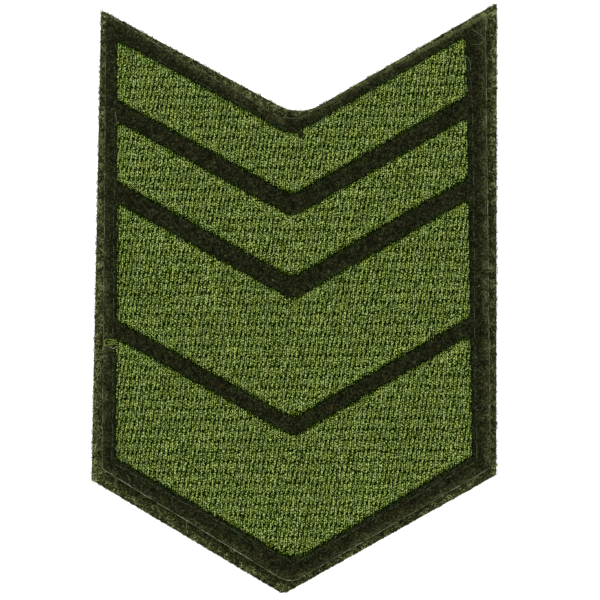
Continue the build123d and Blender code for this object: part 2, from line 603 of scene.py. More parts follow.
# %% Rows of stitches
row_pitch = 0.41 * mm
stitch_length = 3.9 * mm
shortest_stitch = 1.3 * mm
foot_overhang = 0.34 * mm
top_overhang = 0.22 * mm
slit_reach = 0.65 * mm
slit_share = 0.64
slit_push = 0.15 * mm
hole_dive = 0.26 * mm
edge_dive = 0.55 * mm
edge_rounding = 0.35
side_droop = 0.28 * mm
stitch_points = np.array([0, 0.03, 0.08, 0.15, 0.27, 0.5, 0.73, 0.85, 0.92, 0.97, 1])
most_holes = 12
thread_half_width = 0.25 * mm
thread_half_height = 0.11 * mm
thread_section = np.array([(0.88, 0.8), (0, 1), (-0.88, 0.8), (-1, -0.3), (1, -0.3)])
felt_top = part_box("felt_ground")[1].z
upright = np.array([0.0, 0.0, 1.0])
stripe_nodes = ["upper_narrow_stripe", "lower_narrow_stripe", "wide_stripe", "base_stripe"]


def span_at(outline, x):
    """The lowest and highest y at which an upright line at x crosses an outline."""
    following = np.roll(outline, -1, axis=0)
    crossed = (outline[:, 0] <= x) != (following[:, 0] <= x)
    start, end = outline[crossed], following[crossed]
    share = (x - start[:, 0]) / (end[:, 0] - start[:, 0])
    heights = start[:, 1] + share * (end[:, 1] - start[:, 1])
    return heights.min(), heights.max()


def stitch_runs(outline):
    """The stitches that fill an outline, one row (x, start, end, at_start, at_end) each, where
    the last two are 1 at the edge of the field and 0 inside it."""
    left = outline[:, 0].min() + 0.05 * mm
    right = outline[:, 0].max() + 0.07 * mm
    count = round((right - left) / row_pitch)
    centres = left + (np.arange(count) + 0.5) * (right - left) / count
    runs = []
    for number, x in enumerate(centres):
        low, high = span_at(outline, np.clip(x, left, right - 0.1 * mm))
        low += rng.normal(0, 0.09) * mm - foot_overhang
        high += rng.normal(0, 0.09) * mm + top_overhang
        phase = stitch_length * (number % 2) / 2
        first = math.ceil((low - phase) / stitch_length)
        holes = phase + stitch_length * np.arange(first, first + most_holes)
        holes = holes[(holes > low + shortest_stitch) & (holes < high - shortest_stitch)]
        holes = holes + rng.normal(0, 0.14, len(holes)) * mm
        ends = np.concatenate([[low], holes, [high]])
        for start, end in zip(ends, ends[1:]):
            runs.append((x, start, end, start == low, end == high))
    return np.array(runs)


print("rows in a field:", round(np.ptp(outlines["wide_stripe"][:, 0]) / row_pitch))

# %% The shape of a stitch
def ends_of(runs):
    """For the start and then the end of each stitch: how far its points lie from there, and
    whether that end is on the edge of the field."""
    start, end, at_start, at_end = (runs[:, [k]] for k in range(1, 5))
    length = end - start
    return [(stitch_points * length, at_start > 0), ((1 - stitch_points) * length, at_end > 0)]


def fade(gap, reach, power):
    """A share that is 1 where the gap is 0 and has fallen to about a third at the reach. The
    higher the power is, the more suddenly it falls there."""
    return np.exp(-((gap / reach) ** power))


def stitch_shape(runs, half_width):
    """The lines of the stitches and how full the thread is along them. Inside the field a stitch
    thins to a wedge at its ends, the lower end pushed to the left and the upper one to the right,
    so a slanted slit opens at each needle hole. All ends dive into the felt, and the outermost
    rows droop over the side of the field."""
    x, start, end = (runs[:, [k]] for k in range(3))
    share = stitch_points[None]
    from_middle = np.abs(2 * share - 1)
    fullness = np.ones((len(runs), 1)) * (1.12 - 0.12 * from_middle**2)
    length_share = np.minimum((end - start) / stitch_length, 1)
    push = 0.045 * mm * np.sin(2 * math.pi * (share - 0.5)) * length_share
    dive = np.zeros(fullness.shape)
    slit = slit_reach * rng.normal(1, 0.22, x.shape)
    for way, (gap, at_edge) in zip((-1, 1), ends_of(runs)):
        wedge = slit_share * np.clip(1 - gap / slit, 0, 1) ** 0.9
        rounding = edge_rounding * fade(gap, reach=0.3 * mm, power=2)
        fullness -= np.where(at_edge, rounding, wedge)
        push += np.where(at_edge, 0, way * wedge * slit_push)
        inner = hole_dive * fade(gap, reach=0.15 * mm, power=1.4)
        outer = edge_dive * fade(gap, reach=0.4 * mm, power=1.4)
        dive += np.where(at_edge, outer, inner)
    crest = thread_top - thread_half_height
    arch = 0.05 * mm * from_middle**2
    beyond = np.abs(x - x.mean()) - (half_width - 0.45 * mm)
    droop = side_droop * np.clip(beyond / (0.4 * mm), 0, 1) ** 2
    lift = rng.normal(0, 0.012, x.shape) * mm + rng.normal(0, 0.006, dive.shape) * mm
    sway = rng.normal(0, 0.012, x.shape) * mm + rng.normal(0, 0.008, dive.shape) * mm
    height = crest - arch - dive - droop + lift
    lines = np.stack([x + sway + push, start + share * (end - start), height], axis=-1)
    return lines, np.clip(fullness, 0.1, 1.2) * (1 + rng.normal(0, 0.04, x.shape))


print("share of its width that a stitch keeps at a needle hole:", round(1 - slit_share, 2))

# %% Sew the four fields
for node in stripe_nodes:
    runs = stitch_runs(outlines[node])
    lines, fullness = stitch_shape(runs, half_width=np.ptp(outlines[node][:, 0]) / 2)
    piece = sweep(
        node.replace("stripe", "stitches"),
        lines,
        across=thread_half_width * fullness,
        up=thread_half_height * np.sqrt(fullness),
        section=thread_section,
        reference=upright,
        finish=green_thread,
    )
    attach(piece, "root")
    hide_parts(node)

# %% [markdown]
# ## The underlay
# Before the rows are sewn, a machine lays a loose bed of stitches across the field, so that the
# top rows stand proud of the felt. Little of it shows, only a dark green between two rows. It is
# a low cushion under the stitches, with ribs across it from the bump. It is painted much darker
# than the green thread, as painted shade for the slits and gaps where it shows.

# %% Underlay finish
def wave(tree, along, pitch):
    """A wave from -1 to 1 that repeats after each pitch along a coordinate."""
    return sums(tree, "SINE", scaled(tree, along, 2 * math.pi / pitch))


bed_finish, bed_tree, bed_shader = new_finish("underlay_thread", roughness=0.8, specular=0.05)
bed_place = object_place(bed_tree)
bed_parts = add(bed_tree, "SeparateXYZ", {0: bed_place}).outputs
bed_grain = noise_at(bed_tree, bed_place, scale=2500.0)
bed_level = scaled(bed_tree, wave(bed_tree, bed_parts["Y"], pitch=0.8 * mm), 0.3, bed_grain)
# Painted shade: the bed is painted far darker than the thread on top of it.
coat(bed_tree, bed_shader, paint_ramp(bed_tree, bed_level, [(0.2, (10, 19, 0)), (0.8, (32, 45, 2))]))
bump(bed_tree, bed_shader, bed_level, depth=0.06 * mm)
print("underlay finish:", len(bed_tree.nodes), "nodes")

# %% How far inside an outline
def nearest_on(points, outline):
    """The nearest place on an outline to each point, and how far off it is."""
    nearest = np.zeros((len(points), 2))
    distance = np.full(len(points), np.inf)
    for start, end in zip(outline, np.roll(outline, -1, axis=0)):
        run = end - start
        share = np.clip(((points - start) @ run) / (run @ run), 0, 1)
        place = start + share[:, None] * run
        gap = np.linalg.norm(points - place, axis=1)
        closer = gap < distance
        nearest[closer], distance[closer] = place[closer], gap[closer]
    return nearest, distance


def depth_inside(points, outline):
    """How far points lie inside an outline, negative outside it."""
    distance = nearest_on(points, outline)[1]
    inside = np.zeros(len(points), bool)
    x, y = points[:, 0], points[:, 1]
    for start, end in zip(outline, np.roll(outline, -1, axis=0)):
        straddles = (start[1] > y) != (end[1] > y)
        if start[1] != end[1]:
            crossing = start[0] + (y - start[1]) * (end[0] - start[0]) / (end[1] - start[1])
            inside ^= straddles & (x < crossing)
    return np.where(inside, distance, -distance)


def inset(outline, distance):
    """An outline moved inward all round. What would cross over itself in a corner is left out."""
    tangent = unit(np.roll(outline, -1, axis=0) - np.roll(outline, 1, axis=0))
    moved = outline + distance * np.stack([-tangent[:, 1], tangent[:, 0]], axis=1)
    return moved[depth_inside(moved, outline) > 0.95 * distance]


felt_depth = depth_inside(np.zeros((1, 2)), felt_outline)[0]
print("from the middle of the patch to the edge of the felt in mm:", round(felt_depth / mm, 1))

# %% Underlay
bed_inset = 0.34 * mm
bed_foot = felt_top - 0.12 * mm
for node in stripe_nodes:
    bed_outline = inset(outlines[node], bed_inset)

    def bed_top(points):
        """The top of the bed, rounded down at its edge."""
        depth = np.clip(depth_inside(points, bed_outline) / (0.5 * mm), 0, 1)
        return felt_top + 0.06 * mm + 0.24 * mm * np.sqrt(depth)

    bed = cloth(node.replace("stripe", "underlay"), bed_outline, spacing=0.9 * mm, top=bed_top,
                foot=flat_at(bed_foot), finish=bed_finish)
    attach(bed, "root")
    print(f"{bed.name}: {triangles(bed)} triangles")

# %% [markdown]
# ## The felt
# The dark ground is a needled felt about a millimetre thick. It isn't flat: the rows of stitches
# pull it down along their edges, the seam presses a groove into it, and towards the cut edge it
# thins and turns down. The sheet is modelled with those dips, since they make the soft shading
# of the border, and its fibres come from the material and from loose hairs added later.
#
# Two marks at each point of the sheet guide its material. The first makes the felt paler, in
# uneven patches, towards its cut edge, and on each side as much as in the photograph. The second
# is 1 beside a field, where the felt is tinted greener and painted a little lighter, as painted
# light that lifts the shade of the stitches.
#
# The seam's corners are given as steps outward from the corners of the embroidery, because a
# person guided it along the green edge and it wanders a little.

# %% The line of the seam
_, upper_top, _, _ = four_sides(outlines["upper_narrow_stripe"])
base_foot, _, _, _ = four_sides(outlines["base_stripe"])
green_corners = {
    "top_left": upper_top[0],
    "notch": upper_top[np.argmin(upper_top[:, 1])],
    "top_right": upper_top[-1],
    "bottom_right": base_foot[-1],
    "tip": base_foot[np.argmin(base_foot[:, 1])],
    "bottom_left": base_foot[0],
}
# How far each corner of the seam lies across and up from the green one, in millimetres.
seam_steps = {
    "top_left": (-0.5, 0.7),
    "notch": (0.0, 0.5),
    "top_right": (1.35, 0.9),
    "bottom_right": (1.08, -0.95),
    "tip": (0.0, -1.5),
    "bottom_left": (-0.95, -0.8),
}


def closed(outline):
    """An outline as a line that comes back to its first point."""
    return np.concatenate([outline, outline[:1]])


seam_corners = [green_corners[name] + np.array(step) * mm for name, step in seam_steps.items()]
seam_corners = np.array(seam_corners)
seam_loop = closed(seam_corners)
print("seam length in mm:", round(length_of(seam_loop) / mm, 1))

# %% The relief of the felt
felt_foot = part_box("felt_ground")[0].z
stripe_outlines = [outlines[node] for node in stripe_nodes]
edge_dip = 0.22 * mm
seam_dip = 0.09 * mm
green_dip = 0.06 * mm


def smooth_noise(points, size):
    """Gentle noise from -1 to 1 over points, with features of that size."""
    return np.array([noise.noise(Vector((x / size, y / size, 0.7))) for x, y in points])


def depth_in_green(points):
    """How far points lie inside a field of green, negative outside all of them."""
    return np.max([depth_inside(points, outline) for outline in stripe_outlines], axis=0)


def felt_height(points):
    """The height of the felt's face over the surface that the patch lies on."""
    edge = np.clip(depth_inside(points, felt_outline), 0, None)
    green = np.clip(-depth_in_green(points), 0, None)
    seam = np.abs(depth_inside(points, seam_corners[::-1]))
    height = np.full(len(points), felt_top)
    height -= edge_dip * fade(edge, reach=0.55 * mm, power=1.5)
    height -= seam_dip * fade(seam, reach=0.45 * mm, power=2)
    height -= green_dip * fade(green, reach=0.35 * mm, power=1)
    height += 0.022 * mm * smooth_noise(points, 0.9 * mm) + 0.05 * mm * smooth_noise(points, 4 * mm)
    return np.minimum(height, felt_top + 0.04 * mm)


print("height of the felt at its cut edge in mm:", round(felt_height(felt_outline).mean() / mm, 2))

# %% Wear and dust
def side_of(points):
    """The names of the sides of the patch on which points of its edge lie."""
    high = felt_outline[:, 1].max()
    low_left = felt_outline[corner_index(felt_outline, -1, -1)]
    right_edge = points[:, 0] > felt_outline[:, 0].max() - side_reach
    left_edge = points[:, 0] < felt_outline[:, 0].min() + side_reach
    upper = points[:, 1] > 0.5 * (high + low_left[1])
    names = np.where(points[:, 0] < 0, "bottom_left", "bottom_right")
    names = np.where(upper, np.where(points[:, 0] < 0, "top_left", "top_right"), names)
    return np.where(right_edge, "right", np.where(left_edge, "left", names))


side_reach = 0.6 * mm
# How much paler each side turns at its cut edge. The left one isn't listed, as it changes along it.
side_paleness = {
    "top_left": 0.75,
    "top_right": 0.5,
    "right": 1.0,
    "bottom_right": 0.74,
    "bottom_left": 0.66,
}


def edge_paleness_at(points):
    """How much paler the felt is, from 0 inside to 1 at its cut edge, in uneven patches. Each
    side has its own amount, and the left side hardly any near its top."""
    nearest, gap = nearest_on(points, felt_outline)
    sides = side_of(nearest)
    left_paleness = np.interp(points[:, 1] / mm, (-30, -12, 12, 30), (0.6, 0.9, 0.85, 0.12))
    pale_amount = np.array([side_paleness.get(name, at_left) for name, at_left in zip(sides, left_paleness)])
    patches = pale_amount * (0.8 + 0.9 * smooth_noise(points, 1.7 * mm))
    return np.clip(patches * fade(gap, reach=1.15 * mm, power=3), 0, 1)


def green_lift_at(points):
    """How much the felt is tinted greener and painted lighter beside a field, 1 there and 0 away
    from it. The lighter paint is painted light, to lift the shade of the stitches.
    """
    return fade(np.clip(-depth_in_green(points), 0, None), reach=0.75 * mm, power=2)


def add_marks(piece):
    """Stores, at each point of a piece, how pale the felt is towards its edge and how much
    tint and painted light it gets beside a field, for its material.
    """
    flat = np.array([vertex.co[:2] for vertex in piece.data.vertices])
    for name, values in (("edge_paleness", edge_paleness_at(flat)), ("green_lift", green_lift_at(flat))):
        mark = piece.data.attributes.new(name, "FLOAT", "POINT")
        mark.data.foreach_set("value", values.astype(np.float32))


print("mean wear along the cut edge:", round(edge_paleness_at(felt_outline).mean(), 2))

# %% Felt finish and sheet
def mixed(tree, share, first, second):
    """A blend of two colours, with that share of the second."""
    inputs = {"Factor": share, "A": first, "B": second}
    return add(tree, "Mix", inputs, data_type="RGBA").outputs["Result"]


felt_finish, felt_tree, felt_shader = new_finish("dark_felt", roughness=0.95, specular=0.03)
felt_place = object_place(felt_tree)
felt_green_lift = mark_of(felt_tree, "green_lift")
felt_mottle = noise_at(felt_tree, felt_place, scale=600.0, detail=3.0, roughness=0.6)
felt_fibre = noise_at(felt_tree, felt_place, scale=2900.0, detail=2.0, roughness=0.6)
felt_mix = scaled(felt_tree, felt_mottle, 0.22, scaled(felt_tree, felt_fibre, 0.78))
# Painted light: beside a field the felt is painted a little lighter, to lift the shade of the stitches.
felt_level = scaled(felt_tree, felt_green_lift, 0.02, scaled(felt_tree, felt_mix, 1.5, -0.293))
felt_level = scaled(felt_tree, mark_of(felt_tree, "edge_paleness"), 0.2, felt_level)
felt_stops = [(0.3, (11, 13, 5)), (0.5, (33, 36, 18)), (0.68, (58, 63, 37)), (0.9, (100, 105, 68))]
felt_colour = paint_ramp(felt_tree, felt_level, felt_stops)

warm = tinted(felt_tree, felt_colour, (1.3, 0.95, 1.0))
warm_patch = noise_at(felt_tree, felt_place, scale=260.0, detail=1.0)
warm_share = scaled(felt_tree, warm_patch, 2.4, -1.2)
# Beside a field the felt is also tinted greener.
greener = tinted(felt_tree, felt_colour, (0.9, 1.1, 1.0))
greener_share = scaled(felt_tree, felt_green_lift, 0.8)
felt_tinted = mixed(felt_tree, warm_share, felt_colour, warm)
coat(felt_tree, felt_shader, mixed(felt_tree, greener_share, felt_tinted, greener))
bump(felt_tree, felt_shader, felt_mix, depth=0.12 * mm)

felt_sheet = cloth("felt_cloth", felt_outline, spacing=0.5 * mm, top=felt_height,
                   foot=flat_at(felt_foot), finish=felt_finish)
add_marks(felt_sheet)
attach(felt_sheet, "root")
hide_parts("felt_ground")
print(f"felt_cloth: {triangles(felt_sheet)} triangles")

# %% [markdown]
# ## The seam
# A lock stitch runs round the embroidery and holds the fastener to the back of the felt. From
# the face it is a line of dull dashes that sink into the felt at every hole, so only the middle
# of each dash catches the light. Each side of the patch has a stitch length of its own, near
# 3 mm, and on the upper sides the thread has sunk deeper.

# %% Seam thread
seam_thread = thread_finish(
    "seam_thread",
    colours=[(16, 20, 10), (30, 36, 20), (44, 52, 32), (60, 69, 46), (92, 102, 76)],
    ply_length=0.8,
    roughness=0.7,
    relief=0.04 * mm,
)


def line_of_top(x):
    """The height up the patch, at each x, above which the seam belongs to the upper sides."""
    return seam_corners[1, 1] - 1.0 * mm + 0.45 * np.abs(x)


def at_height(flat, height):
    """Points in space, from level places and their heights."""
    return np.concatenate([flat, height[..., None]], axis=-1)


# Stitch lengths in millimetres on each side, named after the corner where the side begins.
seam_pitches = {
    "top_left": 2.6,
    "notch": 3.0,
    "top_right": 3.7,
    "bottom_right": 3.7,
    "tip": 3.4,
    "bottom_left": 2.6,
}
dash_top = 0.1 * mm
hole_depth = 0.36 * mm
upper_sink = 0.13 * mm

seam_holes = [seam_corners[:1]]
for start, end, pitch in zip(seam_loop, seam_loop[1:], seam_pitches.values()):
    count = round(np.linalg.norm(end - start) / (pitch * mm))
    holes = start + np.linspace(0, 1, count + 1)[1:, None] * (end - start)
    holes[:-1] += rng.normal(0, 0.09, (count - 1, 2)) * mm
    seam_holes.append(holes)
seam_holes = np.concatenate(seam_holes)
seam_count = len(seam_holes) - 1
seam_share = np.array([0.0, 0.06, 0.16, 0.32, 0.5, 0.68, 0.84, 0.94, 1.0])
seam_start, seam_end = seam_holes[:-1, None], seam_holes[1:, None]
seam_flat = seam_start + seam_share[None, :, None] * (seam_end - seam_start)
seam_base = felt_height(seam_flat.reshape(-1, 2)).reshape(seam_count, -1)
seam_middle = 0.5 * (seam_holes[:-1] + seam_holes[1:])
seam_sunk = upper_sink * (seam_middle[:, 1] > line_of_top(seam_middle[:, 0]))
seam_sunk = seam_sunk + rng.uniform(0, 0.12, seam_count) * mm
seam_rise = dash_top - hole_depth * np.abs(2 * seam_share - 1) ** 3 - seam_sunk[:, None]
seam_lines = at_height(seam_flat, seam_base + seam_rise)
seam_piece = sweep("seam_stitches", seam_lines, across=0.13 * mm, up=0.1 * mm, section=ring(6),
                   reference=upright, finish=seam_thread)
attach(seam_piece, "root")

# %% [markdown]
# ## The fused edge
# The felt is cut with a hot blade, which melts its fibres into a thin pale line along the top of
# the cut. It is uneven, so it is built from short tapered beads that overlap, and each side of
# the patch has its own brightness. Each strand's `tone` carries that brightness to the material.

# %% Fused edge
fused_finish, fused_tree, fused_shader = new_finish("fused_edge", roughness=0.6, specular=0.15)
fused_tone = mark_of(fused_tree, "tone")
fused_grain = noise_at(fused_tree, object_place(fused_tree), scale=1500.0, detail=3.0)
fused_level = scaled(fused_tree, fused_grain, 1.3, sums(fused_tree, "ADD", fused_tone, -0.65))
fused_stops = [(0.0, (34, 38, 20)), (0.4, (82, 88, 60)), (0.75, (134, 140, 108)), (1.0, (190, 195, 165))]
coat(fused_tree, fused_shader, paint_ramp(fused_tree, fused_level, fused_stops))
bump(fused_tree, fused_shader, fused_grain, depth=0.05 * mm)

fused_side_levels = {
    "top_left": 0.34,
    "top_right": 0.1,
    "right": 0.44,
    "bottom_right": 0.5,
    "bottom_left": 0.64,
    "left": 0.34,
}
bead_spacing = 0.9 * mm

fused_loop = closed(felt_outline)
fused_length = length_of(fused_loop)
fused_steps = np.linalg.norm(np.diff(fused_loop, axis=0), axis=1)
fused_along = np.concatenate([[0.0], np.cumsum(fused_steps)])
bead_share = np.linspace(0, 1, 7)
bead_starts = np.arange(0, fused_length, bead_spacing)
bead_lengths = rng.uniform(0.5, 3.4, (len(bead_starts), 1)) * mm
bead_places = bead_starts[:, None] + bead_share * bead_lengths
bead_flat = [np.interp(bead_places % fused_length, fused_along, axis) for axis in fused_loop.T]
bead_flat = np.stack(bead_flat, axis=-1)
bead_tangent = unit(np.gradient(bead_flat, axis=1))
bead_inward = np.stack([-bead_tangent[..., 1], bead_tangent[..., 0]], axis=-1)
bead_flat = bead_flat + rng.uniform(0.0, 0.07, (len(bead_starts), 1, 1)) * mm * bead_inward
bead_flat = bead_flat + rng.normal(0, 0.015, bead_flat.shape) * mm
bead_height = felt_top - 0.14 * mm + rng.normal(0, 0.02, bead_places.shape) * mm
bead_lines = at_height(bead_flat, bead_height)
bead_width = np.sqrt(np.clip(1 - (2 * bead_share - 1) ** 4, 0.03, 1))
bead_width = bead_width * rng.uniform(0.03, 0.06, (len(bead_starts), 1)) * mm
bead_side_level = np.array([fused_side_levels[name] for name in side_of(bead_flat.mean(axis=1))])
bead_tones = bead_side_level + rng.normal(0, 0.15, len(bead_side_level))
fused_piece = sweep("fused_edge", bead_lines, across=bead_width, up=0.8 * bead_width, section=ring(5),
                    reference=upright, finish=fused_finish, tones=bead_tones)
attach(fused_piece, "root")

# %% [markdown]
# ## The nap of the felt
# Loose fibres lie over the felt in all directions and catch a little light. They are real thin
# strands, laid at random on the bare felt between and around the green fields. They are paler
# towards the cut edge, and lie thickest at the upper right, where the edge is fuzzy and the
# blade left hardly a line.

# %% Felt nap
nap_finish, nap_tree, nap_shader = new_finish("felt_fibre", roughness=0.8, specular=0.08)
nap_tone = mark_of(nap_tree, "tone")
nap_grain = noise_at(nap_tree, object_place(nap_tree), scale=3000.0)
nap_level = scaled(nap_tree, nap_grain, 0.4, sums(nap_tree, "ADD", nap_tone, -0.2))
nap_stops = [(0.1, (14, 16, 6)), (0.45, (44, 48, 24)), (0.75, (86, 92, 50)), (1.0, (146, 152, 96))]
coat(nap_tree, nap_shader, paint_ramp(nap_tree, nap_level, nap_stops))


def scatter(outline, spacing, keep):
    """Points at random over an outline's box, about that far apart, of which keep picks some."""
    low, high = outline.min(axis=0), outline.max(axis=0)
    counts = np.ceil((high - low) / spacing).astype(int)
    cells = np.stack(np.meshgrid(np.arange(counts[0]), np.arange(counts[1])), axis=-1).reshape(-1, 2)
    points = low + (cells + rng.random(cells.shape)) * spacing
    return points[keep(points)]


def on_bare_felt(points):
    """Which points lie on the felt and clear of the green."""
    return (depth_inside(points, felt_outline) > 0.0) & (depth_in_green(points) < -0.02 * mm)


def on_fuzzy_edge(points):
    """Which points lie by the cut edge, on the side where it is fuzzy."""
    depth = depth_inside(points, felt_outline)
    return (depth > -0.05 * mm) & (depth < 0.5 * mm) & (side_of(points) == "top_right")


def fibres(points, length, bend, lift, ground=felt_height):
    """Short bent lines, one centred on each point, in random directions. Ground gives the height
    of what they lie on."""
    share = np.linspace(-0.5, 0.5, 4)
    way = rng.uniform(0, 2 * math.pi, (len(points), 1))
    angle = way + rng.normal(0, bend, (len(points), 1)) * share
    reach = share * rng.uniform(*length, (len(points), 1)) * mm
    flat = points[:, None] + reach[..., None] * flat_way(angle)
    base = ground(flat.reshape(-1, 2)).reshape(len(points), -1)
    rise = rng.uniform(*lift, (len(points), 1)) * mm * (1 - (2 * share) ** 2)
    return at_height(flat, base + 0.01 * mm + rise)


bare_points = scatter(felt_outline, spacing=0.66 * mm, keep=on_bare_felt)
fuzzy_points = scatter(felt_outline, spacing=0.2 * mm, keep=on_fuzzy_edge)
bare_tones = 0.6 * rng.random(len(bare_points))
bare_tones = bare_tones + (0.3 + 0.7 * rng.random(len(bare_points))) * edge_paleness_at(bare_points)
fuzzy_tones = 0.76 + 0.38 * np.clip(fuzzy_points[:, 0] / (34 * mm), 0, 1) ** 2
fuzzy_tones = fuzzy_tones + 0.32 * smooth_noise(fuzzy_points, 1.6 * mm)
fuzzy_tones = fuzzy_tones + rng.normal(0, 0.12, len(fuzzy_points))
nap_lines = np.concatenate([
    fibres(bare_points, length=(0.5, 1.7), bend=0.9, lift=(0.0, 0.1)),
    fibres(fuzzy_points, length=(0.3, 0.9), bend=1.3, lift=(0.0, 0.3)),
])
nap_tones = np.concatenate([bare_tones, fuzzy_tones])
nap_radius = 0.02 * mm
nap_piece = sweep("felt_nap", nap_lines, across=nap_radius, up=nap_radius, section=ring(3),
                  reference=upright, finish=nap_finish, tones=nap_tones)
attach(nap_piece, "root")

# %% [markdown]
# ## The hook cloth
# The hook half of the fastener is a stiff woven tape. From above it is hidden, but from the side
# its edge shows as a dark layer with rows of little nylon hooks that bite into the loops. Only
# the hooks near the edge can be seen, so only those are made, and further in one closed body
# stands for the field of hooks.

# %% Hook cloth
hook_outline = outlines["hook_panel"]
hook_low, hook_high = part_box("hook_panel")
tape_thickness = 0.42 * mm
tape_foot = hook_high.z - tape_thickness
hook_rows = 1.3 * mm

weave_finish, weave_tree, weave_shader = new_finish("hook_weave", roughness=0.7, specular=0.1)
weave_place = object_place(weave_tree)
weave_parts = add(weave_tree, "SeparateXYZ", {0: weave_place}).outputs
warp_wave = wave(weave_tree, weave_parts["X"], pitch=0.5 * mm)
weft_wave = wave(weave_tree, weave_parts["Y"], pitch=0.4 * mm)
weave_grain = noise_at(weave_tree, weave_place, scale=3000.0)
weave_level = scaled(weave_tree, scaled(weave_tree, warp_wave, weft_wave), 0.3, weave_grain)
weave_stops = [(0.2, (16, 19, 12)), (0.9, (48, 54, 36))]
coat(weave_tree, weave_shader, paint_ramp(weave_tree, weave_level, weave_stops))
bump(weave_tree, weave_shader, weave_level, depth=0.1 * mm)

hook_sheet = cloth("hook_cloth", hook_outline, spacing=1.2 * mm, top=flat_at(hook_high.z),
                   foot=flat_at(tape_foot), finish=weave_finish)

# The outline has few points on its long sides. It gets many more before it is moved inward, so
# that the corners of what is left stay sharp.
even_outline = resample(closed(hook_outline), count=1200)[:-1]
field_outline = inset(even_outline, hook_rows)
hook_field = cloth("hook_field", field_outline, spacing=1.2 * mm, top=flat_at(tape_foot + 0.05 * mm),
                   foot=flat_at(hook_low.z), finish=weave_finish)
print("hook field in mm2:", round(area_of(field_outline) / mm**2))

# %% Hooks
nylon_finish, nylon_tree, nylon_shader = new_finish("hook_nylon", roughness=0.4, specular=0.3)
nylon_tone = mark_of(nylon_tree, "tone")
nylon_grain = noise_at(nylon_tree, object_place(nylon_tree), scale=2500.0)
nylon_level = scaled(nylon_tree, nylon_tone, 0.6, scaled(nylon_tree, nylon_grain, 0.4))
nylon_stops = [(0.2, (24, 28, 16)), (0.9, (66, 72, 46))]
coat(nylon_tree, nylon_shader, paint_ramp(nylon_tree, nylon_level, nylon_stops))


def in_hook_rows(points):
    """Which points lie in the outer rows of hooks."""
    depth = depth_inside(points, hook_outline)
    return (depth > 0.15 * mm) & (depth < hook_rows)


def square_to(heading):
    """The level directions square to headings, a quarter turn to their left."""
    return np.stack([-heading[:, 1], heading[:, 0], np.zeros(len(heading))], axis=-1)


hook_points = scatter(hook_outline, spacing=0.85 * mm, keep=in_hook_rows)
hook_turn = np.linspace(0.0, 1.0, 9)
hook_top = hook_high.z - 0.3 * mm
hook_drop = hook_top - (hook_low.z - 0.1 * mm)
stem_share = 0.55
bend = math.pi * np.clip((hook_turn - stem_share) / (1 - stem_share), 0, 1)
hook_radius = 0.22 * mm
wire_radius = 0.075 * mm
reach = hook_radius * (1 - np.cos(bend))
stem = np.minimum(hook_turn / stem_share, 1) * (hook_drop - hook_radius)
fall = stem + hook_radius * np.sin(bend)
hook_way = rng.choice([0.5, 1.5], len(hook_points)) * math.pi + rng.normal(0, 0.25, len(hook_points))
hook_heading = flat_way(hook_way)
hook_flat = hook_points[:, None] + reach[None, :, None] * hook_heading[:, None]
hook_heights = np.broadcast_to(hook_top - fall, hook_flat.shape[:2])
hook_lines = at_height(hook_flat, hook_heights)
hook_piece = sweep("hooks", hook_lines, across=wire_radius, up=wire_radius, section=ring(3),
                   reference=square_to(hook_heading)[:, None], finish=nylon_finish)

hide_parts("hook_panel")
for piece in (hook_sheet, hook_field, hook_piece):
    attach(piece, "root")

# %% [markdown]
# ## The loop cloth
# The loop half is a knitted backing whose pile stands up in thousands of soft curls. It is cut a
# little larger than the felt, so its pile shows all round as a rim. The curls lean every way, and
# many have come apart into single hairs, so the rim looks like soft moss: short pale arcs over a
# dark ground. Each curl and hair is a strand of its own here, from the outer edge to just under
# the felt. Strands that would hang out past the cut are pressed back to it, because the scissors
# left a clean edge. In the photograph the rim is brighter on some sides than on others, and on
# most sides darker towards the felt, so a strand's tone carries painted light and shade: each side
# gets its own extra painted light, and painted shade beside the felt's wall. Deeper in the pile
# the yarn is painted darker too, as painted shade.

# %% Loop backing
loop_outline = outlines["loop_panel"]
loop_low, loop_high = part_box("loop_panel")
backing_thickness = 0.78 * mm
backing_top = loop_low.z + backing_thickness


def backing_height(points):
    """The knitted ground: turned down at its cut edge, raised to the hooks under the felt."""
    edge = np.clip(depth_inside(points, loop_outline), 0, None)
    under = depth_inside(points, felt_outline) - 0.8 * mm
    height = backing_top - 0.3 * mm * fade(edge, reach=0.3 * mm, power=2)
    height += 0.06 * mm * smooth_noise(points, 0.7 * mm)
    raised = np.clip(under / (0.6 * mm), 0, 1)
    return height + raised * (loop_high.z - backing_top - 0.05 * mm)


ground_finish, ground_tree, ground_shader = new_finish("loop_ground", roughness=0.9, specular=0.05)
ground_place = object_place(ground_tree)
ground_knit = add(ground_tree, "TexVoronoi", {"Vector": ground_place, "Scale": 1900.0})
ground_mottle = noise_at(ground_tree, ground_place, scale=1200.0, detail=3.0)
ground_level = scaled(ground_tree, ground_mottle, 0.5)
ground_level = scaled(ground_tree, ground_knit.outputs["Distance"], 0.6, ground_level)
ground_stops = [(0.25, (34, 38, 19)), (0.8, (84, 91, 51))]
coat(ground_tree, ground_shader, paint_ramp(ground_tree, ground_level, ground_stops))
bump(ground_tree, ground_shader, ground_level, depth=0.12 * mm)

backing = cloth("loop_backing", loop_outline, spacing=0.8 * mm, top=backing_height,
                foot=flat_at(loop_low.z), finish=ground_finish)
print(f"loop_backing: {triangles(backing)} triangles")

# %% Yarn finish
yarn_finish, yarn_tree, yarn_shader = new_finish("loop_yarn", roughness=0.7, specular=0.1)
yarn_tone = mark_of(yarn_tree, "tone")
yarn_place = object_place(yarn_tree)
yarn_mottle = noise_at(yarn_tree, yarn_place, scale=2400.0, detail=2.0)
yarn_patch = noise_at(yarn_tree, yarn_place, scale=750.0, detail=1.0)
